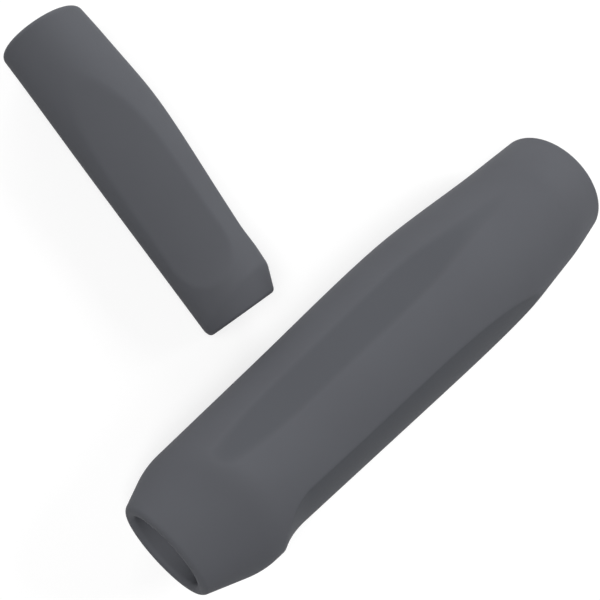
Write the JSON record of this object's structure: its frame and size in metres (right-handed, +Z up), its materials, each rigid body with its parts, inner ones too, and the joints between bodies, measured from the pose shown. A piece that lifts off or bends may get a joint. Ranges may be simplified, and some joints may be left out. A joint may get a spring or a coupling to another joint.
{
  "type": "pencil grip",
  "caption": "Moulded silicone pencil grips, a long and a short sleeve: round bore, body swelling to a top ridge, finger flats that curl up behind a tapered nose.",
  "frame": {"origin": "on the table, under the middle of the box around both sleeves as they lie", "axes": "+Z up from the table; +X along the long sleeve, from its rear end towards its nose"},
  "size_m": [0.064, 0.0582, 0.0175],
  "materials": {
    "silicone": "matte"
  },
  "bodies": {
    "large_grip": {"large_grip": "silicone"},
    "small_grip": {"small_grip": "silicone"}
  },
  "joints": [
    {"name": "small_grip_lift", "type": "slide", "parent": "large_grip", "child": "small_grip", "axis": [0, 0, 1], "range_m": [0, 0.06]}
  ]
}
